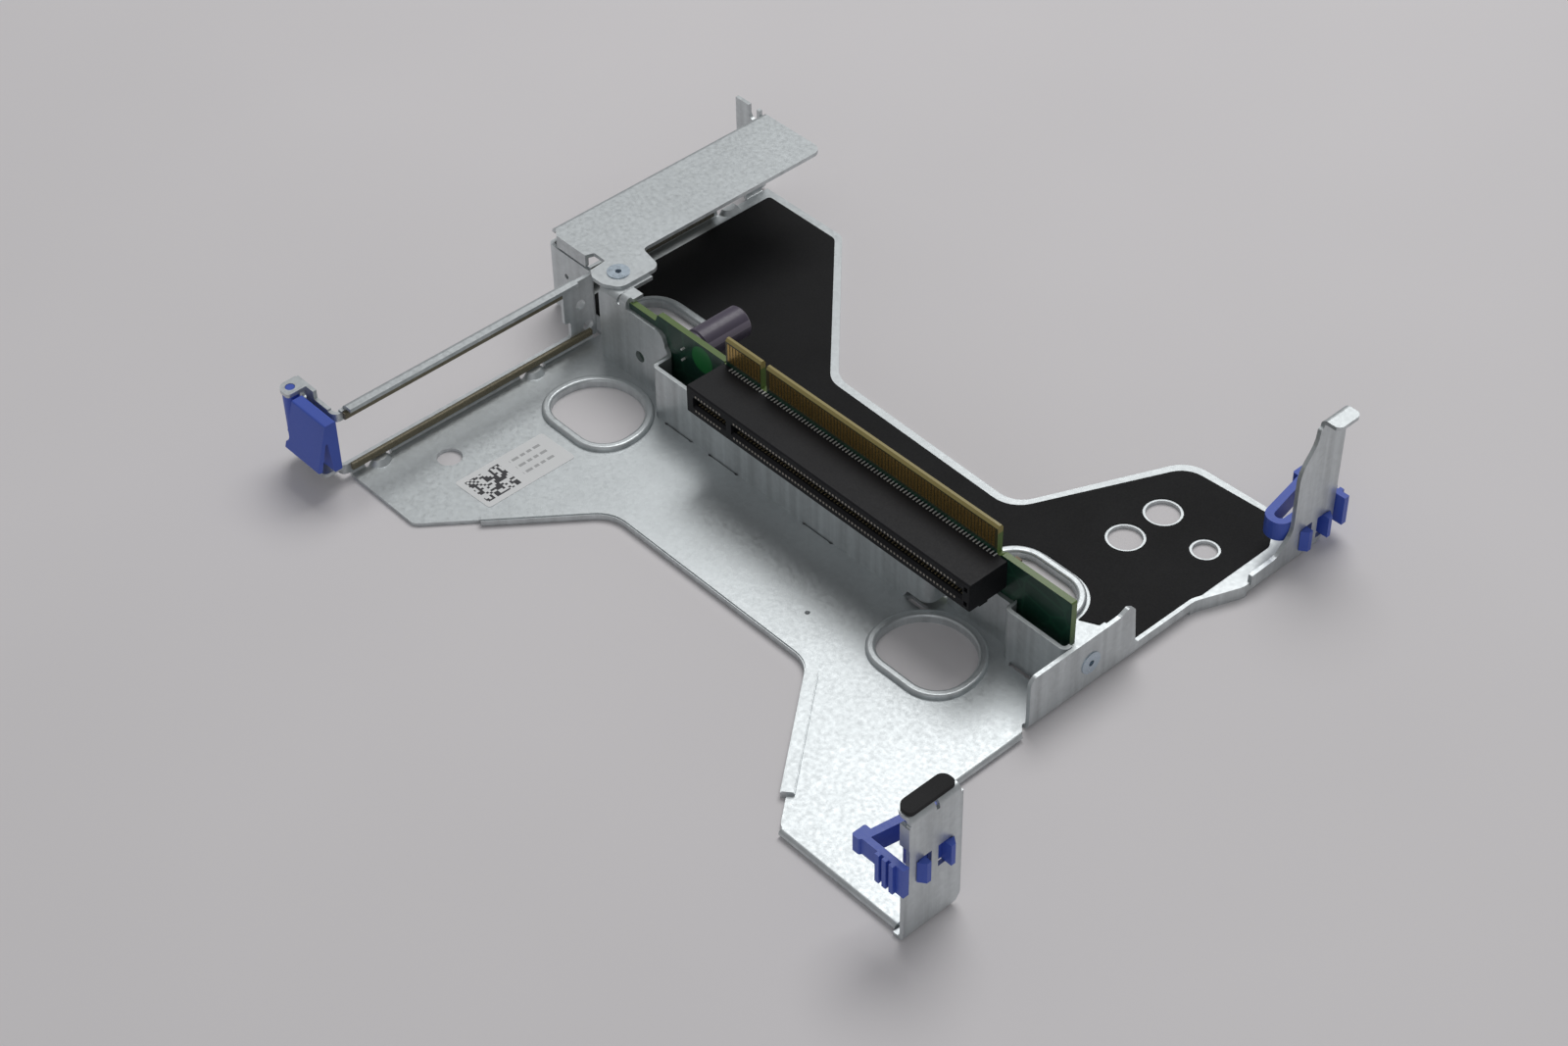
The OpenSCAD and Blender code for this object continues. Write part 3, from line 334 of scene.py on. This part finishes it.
class RCB_OT_board(bpy.types.Operator):
    """Riser board with its mask, bare edges, gold contacts and small parts"""
    bl_idname = "rcb.board"
    bl_label = "Riser board"

    def execute(self, context):
        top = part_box("riser_board")[1].z
        cap_low, cap_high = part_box("bulk_capacitor")
        cap = (cap_low + cap_high) / 2

        def board_colour(t, group):
            x, y, z = object_axes(t)
            normal = t.add("ShaderNodeSeparateXYZ", None,
                           Vector=t.add("ShaderNodeNewGeometry").outputs["Normal"])
            face = t.math("GREATER_THAN", t.math("ABSOLUTE", normal.outputs[1]), 0.9)
            edge = t.mix(t.math("GREATER_THAN", z, top - BEVEL_BAND), tone(0.12, 0.19, 0.05),
                         tone(0.33, 0.27, 0.09))
            # copper planes show through the mask as a slightly lighter green
            plane = t.add("ShaderNodeTexVoronoi", {"feature": "DISTANCE_TO_EDGE"},
                          Vector=t.add("ShaderNodeTexCoord").outputs["Object"], Scale=160.0)
            traces = t.span(plane.outputs[0], 0.03, 0.06, 1.0, 0.0)
            mask = t.mix(t.math("MULTIPLY", traces, 0.35), group.outputs["Color"], tone(0.02, 0.1, 0.055))
            # bare laminate between the edge contacts
            bare = t.mix(t.math("GREATER_THAN", z, top - BARE_BAND), mask, tone(0.06, 0.055, 0.024))
            # round copper area beside the capacitor's leads
            spot = distance(t, (x, z), (cap.x + COPPER_ACROSS, cap.z + COPPER_UP))
            lighter = t.mix(t.math("LESS_THAN", spot, COPPER_RADIUS), bare, tone(0.012, 0.17, 0.04))
            return t.mix(face, edge, lighter)

        laminate = finish_material("solder_mask", plain_group(), {
            "Grain scale": 3000.0, "Mottling": 0.15, "Roughness": 0.36, "Tone": tone(0.006, 0.04, 0.024)},
            bump=0.03, coat=0.15, colour=board_colour)
        dress("riser_board", laminate)
        gold = finish_material("contact_gold", plain_group(), {
            "Grain scale": 4000.0, "Mottling": 0.12, "Roughness": 0.3, "Tone": tone(0.56, 0.36, 0.11)},
            metallic=0.85, bump=0.03)
        for node in ("edge_contacts_near", "edge_contacts_far"):
            dress(node, gold)
        tin = finish_material("tin", plain_group(), {
            "Grain scale": 3000.0, "Roughness": 0.28, "Tone": tone(0.8, 0.8, 0.78)}, metallic=0.35, bump=0.05)
        for node in ("capacitor_leads", "slot_solder_tails"):
            dress(node, tin)

        def can_colour(t, group):
            x, y, z = object_axes(t)
            end = t.math("MULTIPLY", t.math("GREATER_THAN", y, cap_high.y - CAN_END_DEPTH),
                         t.math("LESS_THAN", distance(t, (x, z), (cap.x, cap.z)), CAN_END_RADIUS))
            # a lighter band runs along the sleeve
            slant = t.math("SUBTRACT", t.math("SUBTRACT", x, cap.x), t.math("SUBTRACT", z, cap.z))
            band = between(t, slant, *SLEEVE_BAND)
            sleeve = t.mix(t.math("MULTIPLY", band, 0.45), group.outputs["Color"], tone(0.33, 0.29, 0.36))
            return t.mix(end, sleeve, tone(0.42, 0.42, 0.45))

        sleeve = finish_material("capacitor_sleeve", plain_group(), {
            "Grain scale": 900.0, "Mottling": 0.12, "Roughness": 0.42, "Tone": tone(0.085, 0.07, 0.105)},
            bump=0.04, coat=0.1, colour=can_colour)
        dress("bulk_capacitor", sleeve)
        chip = finish_material("chip_body", plain_group(), {
            "Grain scale": 5000.0, "Roughness": 0.5, "Tone": tone(0.22, 0.15, 0.09)}, bump=0.05)
        dress("filter_capacitor", chip)
        return {"FINISHED"}


def window_tree():
    """Geometry Nodes tree of the contact windows: two rows of small blocks along X."""
    tree = bpy.data.node_groups.new("contact_windows", "GeometryNodeTree")
    face = tree.interface
    keys = {}
    for label, kind, value in (("Count", "NodeSocketInt", 40), ("Start", "NodeSocketVector", (0, 0, 0)),
                               ("Pitch", "NodeSocketFloat", 0.001),
                               ("Size", "NodeSocketVector", (0.0004, 0.0001, 0.0005)),
                               ("Row gap", "NodeSocketFloat", 0.004),
                               ("Material", "NodeSocketMaterial", None)):
        socket = face.new_socket(label, in_out="INPUT", socket_type=kind)
        if value is not None:
            socket.default_value = value
        keys[label] = socket.identifier
    face.new_socket("Geometry", in_out="OUTPUT", socket_type="NodeSocketGeometry")
    t = Tree(tree)
    put = t.add("NodeGroupInput")
    out = t.add("NodeGroupOutput")
    step = t.add("ShaderNodeCombineXYZ", None, X=put.outputs["Pitch"]).outputs[0]
    line = t.add("GeometryNodeMeshLine", {"mode": "OFFSET"}, Count=put.outputs["Count"], Offset=step)
    t.set(line, "Start Location", put.outputs["Start"])
    up = t.add("ShaderNodeCombineXYZ", None, Z=put.outputs["Row gap"]).outputs[0]
    second = t.add("GeometryNodeTransform", None, Geometry=line.outputs[0], Translation=up)
    join = t.add("GeometryNodeJoinGeometry")
    tree.links.new(line.outputs[0], join.inputs[0])
    tree.links.new(second.outputs[0], join.inputs[0])
    block = t.add("GeometryNodeMeshCube", None, Size=put.outputs["Size"])
    place = t.add("GeometryNodeInstanceOnPoints", None, Points=join.outputs[0], Instance=block.outputs[0])
    real = t.add("GeometryNodeRealizeInstances", None, Geometry=place.outputs[0])
    dressed = t.add("GeometryNodeSetMaterial", None, Geometry=real.outputs[0],
                    Material=put.outputs["Material"])
    tree.links.new(dressed.outputs[0], out.inputs[0])
    return tree, keys


def grown(name, tree, keys, values):
    """A mesh object made by a Geometry Nodes tree and then made real."""
    holder = bpy.data.objects.new(name + "_source", bpy.data.meshes.new(name + "_source"))
    bpy.context.scene.collection.objects.link(holder)
    modifier = holder.modifiers.new("make", "NODES")
    modifier.node_group = tree
    for label, value in values.items():
        modifier[keys[label]] = value
    holder.update_tag()
    bpy.context.view_layer.update()
    made = holder.evaluated_get(bpy.context.evaluated_depsgraph_get())
    mesh = bpy.data.meshes.new_from_object(made)
    bpy.data.objects.remove(holder)
    if not mesh.vertices:
        raise RuntimeError(name + " came out empty")
    obj = bpy.data.objects.new(name, mesh)
    bpy.context.scene.collection.objects.link(obj)
    return obj


class RCB_OT_slot(bpy.types.Operator):
    """Card slot with its contacts and the two dotted rows of contact windows at its mouth"""
    bl_idname = "rcb.slot"
    bl_label = "Card slot"

    def execute(self, context):
        s = context.scene.rcb_slot
        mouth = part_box("slot_housing")[0]
        first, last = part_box("slot_contacts")
        housing = finish_material("slot_plastic", plain_group(), {
            "Grain scale": 2400.0, "Mottling": 0.12, "Roughness": 0.5, "Tone": tone(0.012, 0.012, 0.014)},
            bump=0.06, specular=0.22)
        dress("slot_housing", housing)
        spring = finish_material("spring_contact", plain_group(), {
            "Grain scale": 3000.0, "Roughness": 0.3, "Tone": tone(0.5, 0.42, 0.26)}, metallic=0.75, bump=0.03)
        dress("slot_contacts", spring)
        dotted = finish_material("window_metal", plain_group(), {
            "Grain scale": 3000.0, "Roughness": 0.36, "Tone": tone(0.42, 0.38, 0.33)},
            metallic=0.3, bump=0.03)
        tree, keys = window_tree()
        lower_row = (first.z + last.z) / 2 - s.row_gap / 2
        for name, start, stop in (("slot_windows_rear", first.x, mouth.x + KEY_START),
                                  ("slot_windows_front", mouth.x + KEY_STOP, last.x)):
            obj = grown(name, tree, keys, {
                "Count": int((stop - start) / s.pitch),
                "Start": (start + s.window / 2, mouth.y - WINDOW_PROUD, lower_row),
                "Pitch": s.pitch, "Size": (s.window, WINDOW_DEPTH, WINDOW_HEIGHT),
                "Row gap": s.row_gap, "Material": dotted})
            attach(obj, "cage")
        return {"FINISHED"}


class RCB_OT_latches(bpy.types.Operator):
    """Blue moulded latches at the rear, at the near tab and at the arm"""
    bl_idname = "rcb.latches"
    bl_label = "Latches"

    def execute(self, context):
        blue = finish_material("blue_latch", plain_group(), {
            "Grain scale": 1700.0, "Mottling": 0.06, "Roughness": 0.42, "Tone": tone(0.055, 0.11, 0.52)},
            bump=0.05, coat=0.05)
        for node in ("rear_latch", "near_front_latch", "far_front_latch"):
            dress(node, blue)
        return {"FINISHED"}


def woven(t, group):
    """Pale threads over a gasket's own tone."""
    cells = t.add("ShaderNodeTexVoronoi", None, Scale=3200.0,
                  Vector=t.add("ShaderNodeTexCoord").outputs["Object"])
    threads = t.span(cells.outputs[0], 0.1, 0.6, 0.0, 0.5)
    return t.mix(threads, group.outputs["Color"], tone(0.3, 0.27, 0.19))


class RCB_OT_soft(bpy.types.Operator):
    """Gaskets, foam pad and label"""
    bl_idname = "rcb.soft"
    bl_label = "Gaskets, pad and label"

    def execute(self, context):
        for name, colour, nodes, slot in (
                ("gasket_cloth", tone(0.11, 0.095, 0.055), ("upper_gasket", "lower_gasket"), "gasket"),
                ("gasket_cloth_dark", tone(0.035, 0.035, 0.032), ("far_gasket",), "dark_gasket")):
            cloth = finish_material(name, plain_group(), {
                "Grain scale": 2500.0, "Mottling": 0.25, "Roughness": 0.42, "Tone": colour},
                metallic=0.35, bump=0.3, colour=woven)
            for node in nodes:
                dress(node, cloth)
        foam = finish_material("foam", plain_group(), {
            "Grain scale": 2600.0, "Mottling": 0.2, "Roughness": 0.8, "Tone": tone(0.03, 0.03, 0.031)},
            bump=0.5, specular=0.2)
        dress("foam_pad", foam)
        low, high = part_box("id_label")

        def marks(t, group):
            # meaningless dots and bars, so that nothing on the label can be read
            x, y, z = object_axes(t)
            u = t.math("FLOOR", t.math("DIVIDE", t.math("SUBTRACT", x, low.x), DOT))
            v = t.math("FLOOR", t.math("DIVIDE", t.math("SUBTRACT", y, low.y), DOT))
            noise = t.add("ShaderNodeTexWhiteNoise", {"noise_dimensions": "2D"},
                          Vector=t.add("ShaderNodeCombineXYZ", None, X=u, Y=v).outputs[0])
            dots = t.math("GREATER_THAN", noise.outputs[0], 0.5)
            block = t.math("MULTIPLY", between(t, x, low.x + DOTS_SIDE, high.x - DOTS_SIDE),
                           between(t, y, low.y + DOTS_LOW, low.y + DOTS_HIGH))
            row = t.math("FRACT", t.math("DIVIDE", t.math("SUBTRACT", x, low.x), BAR_PITCH))
            bar = t.math("MULTIPLY", t.math("LESS_THAN", row, BAR_SHARE),
                         t.math("GREATER_THAN", t.math("SINE", t.math("MULTIPLY", v, 1.9)), -0.6))
            bars_area = t.math("MULTIPLY", between(t, x, low.x + BARS_SIDE, high.x - BARS_SIDE),
                               between(t, y, low.y + BARS_LOW, high.y - BARS_TOP))
            bars = t.math("MULTIPLY", t.math("MULTIPLY", bar, bars_area), 0.45)
            dark = t.math("MAXIMUM", t.math("MULTIPLY", dots, block), bars)
            return t.mix(dark, group.outputs["Color"], tone(0.04, 0.04, 0.045))

        paper = finish_material("label_paper", plain_group(), {
            "Grain scale": 2500.0, "Mottling": 0.03, "Roughness": 0.55, "Tone": tone(0.82, 0.83, 0.83)},
            bump=0.05, colour=marks)
        dress("id_label", paper)
        return {"FINISHED"}


def area_light(name, place, target, size, power):
    """A round white light at a place, turned to its target."""
    data = bpy.data.lights.new(name, "AREA")
    data.shape, data.size, data.energy = "DISK", size, power
    obj = bpy.data.objects.new(name, data)
    obj.location = place
    obj.rotation_euler = (Vector(target) - Vector(place)).to_track_quat("-Z", "Y").to_euler()
    bpy.context.scene.collection.objects.link(obj)


class RCB_OT_stage(bpy.types.Operator):
    """Pale floor, soft lights and the camera"""
    bl_idname = "rcb.stage"
    bl_label = "Stage"

    def execute(self, context):
        s = context.scene.rcb_stage
        ground = START[0].z
        mesh = bpy.data.meshes.new("floor")
        corners = [(x * FLOOR_REACH, y * FLOOR_REACH, ground)
                   for x, y in ((-1, -1), (1, -1), (1, 1), (-1, 1))]
        mesh.from_pydata(corners, [], [(0, 1, 2, 3)])
        floor = bpy.data.objects.new("floor", mesh)
        context.scene.collection.objects.link(floor)
        material = bpy.data.materials.new("floor_paper")
        material.use_nodes = True
        material.node_tree.nodes.clear()
        t = Tree(material.node_tree)
        place = t.add("ShaderNodeTexCoord").outputs["Object"]
        cloud = t.add("ShaderNodeTexNoise", None, Vector=place, Scale=7.0, Detail=2.0)
        dark = tone(*(value * 0.97 for value in s.floor))
        shader = t.add("ShaderNodeBsdfPrincipled", None, Roughness=0.75)
        t.set(shader, "Specular IOR Level", 0.2)
        clouds = t.span(cloud.outputs[0], 0.35, 0.65, 0.0, 1.0)
        t.set(shader, "Base Color", t.mix(clouds, dark, tone(*s.floor)))
        t.set(t.add("ShaderNodeOutputMaterial"), "Surface", shader.outputs[0])
        mesh.materials.append(material)

        world = bpy.data.worlds.new("soft_sky")
        world.use_nodes = True
        back = world.node_tree.nodes["Background"]
        back.inputs["Color"].default_value = (0.97, 0.98, 1.0, 1)
        back.inputs["Strength"].default_value = s.sky
        context.scene.world = world
        area_light("key", (-0.25, 0.55, 1.15), (0.02, 0, 0), 0.9, s.key_power * LIGHT_SCALE)
        area_light("fill", (0.85, -0.9, 0.55), (0.05, 0, 0), 0.8, s.fill_power * LIGHT_SCALE)

        data = bpy.data.cameras.new("view")
        data.lens, data.sensor_width, data.sensor_fit = s.lens, 36.0, "HORIZONTAL"
        data.clip_start, data.clip_end = 0.01, 50
        camera = bpy.data.objects.new("view", data)
        turn = Matrix((CAMERA_RIGHT, CAMERA_UP, CAMERA_BACK)).transposed().to_4x4()
        camera.matrix_world = Matrix.Translation(CAMERA_PLACE) @ turn
        context.scene.collection.objects.link(camera)
        context.scene.camera = camera
        context.scene.view_settings.view_transform = "Standard"
        return {"FINISHED"}


class RCB_PT_panel(bpy.types.Panel):
    bl_label = "Riser cage"
    bl_idname = "RCB_PT_panel"
    bl_space_type = "VIEW_3D"
    bl_region_type = "UI"
    bl_category = "Riser cage"

    def draw(self, context):
        for settings in (context.scene.rcb_sheet, context.scene.rcb_slot, context.scene.rcb_stage):
            box = self.layout.box()
            for key in settings.__annotations__:
                box.prop(settings, key)
        for operator in STEPS:
            self.layout.operator(operator.bl_idname)


STEPS = (RCB_OT_cage, RCB_OT_film, RCB_OT_board, RCB_OT_slot, RCB_OT_latches, RCB_OT_soft, RCB_OT_stage)
SETTINGS = {"rcb_sheet": RCB_SheetSettings, "rcb_slot": RCB_SlotSettings, "rcb_stage": RCB_StageSettings}


def register():
    for cls in (*SETTINGS.values(), *STEPS, RCB_PT_panel):
        bpy.utils.register_class(cls)
    for name, cls in SETTINGS.items():
        setattr(bpy.types.Scene, name, bpy.props.PointerProperty(type=cls))


def unregister():
    for name in SETTINGS:
        delattr(bpy.types.Scene, name)
    for cls in reversed((*SETTINGS.values(), *STEPS, RCB_PT_panel)):
        bpy.utils.unregister_class(cls)


def main():
    register()
    bpy.ops.rcb.cage()
    bpy.ops.rcb.film()
    bpy.ops.rcb.board()
    bpy.ops.rcb.slot()
    bpy.ops.rcb.latches()
    bpy.ops.rcb.soft()
    bpy.ops.rcb.stage()


if __name__ == "__main__":
    main()
